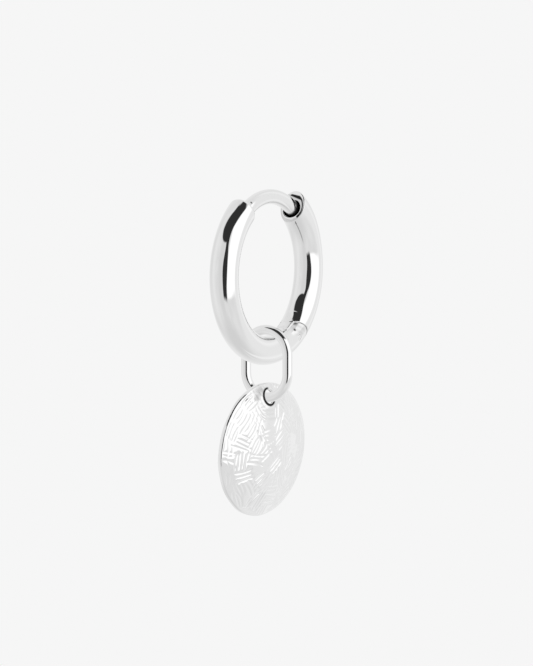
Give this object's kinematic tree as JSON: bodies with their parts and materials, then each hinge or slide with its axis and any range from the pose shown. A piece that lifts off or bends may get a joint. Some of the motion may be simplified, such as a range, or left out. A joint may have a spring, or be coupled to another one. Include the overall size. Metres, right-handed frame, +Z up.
{
  "type": "huggie earring",
  "caption": "Hinged round huggie hoop earring with a bare ear post, an oblong link and a hammered domed disc drop.",
  "frame": {"origin": "middle of the ear post at the top of the ring, where the earring hangs in the ear lobe", "axes": "+Z up, +X towards the hinged gate, +Y to the back of the ring, away from its seen face; the ring lies in the XZ plane"},
  "size_m": [0.013, 0.0042, 0.0231],
  "materials": {
    "polished_silver": "mirror polish",
    "ear_wire_silver": "soft polish",
    "hammered_silver": "polished, chased all over with short strokes"
  },
  "bodies": {
    "ring_half": {"hoop": "polished_silver", "ear_post": "ear_wire_silver", "hinge_pin": "ear_wire_silver"},
    "gate_half": {"gate": "polished_silver"},
    "drop_link": {"link": "polished_silver"},
    "drop_disc": {"disc": "hammered_silver"}
  },
  "joints": [
    {"name": "gate_hinge", "type": "hinge", "parent": "ring_half", "child": "gate_half", "pos_m": [0.00274, 0, -0.01006], "axis": [0, 1, 0], "range_deg": [0, 50]},
    {"name": "link_swing", "type": "hinge", "parent": "ring_half", "child": "drop_link", "pos_m": [0, 0, -0.01079], "axis": [1, 0, 0], "range_deg": [-70, 70]},
    {"name": "disc_swing", "type": "hinge", "parent": "drop_link", "child": "drop_disc", "pos_m": [0, 0, -0.01411], "axis": [0, 1, 0], "range_deg": [-50, 50]}
  ]
}
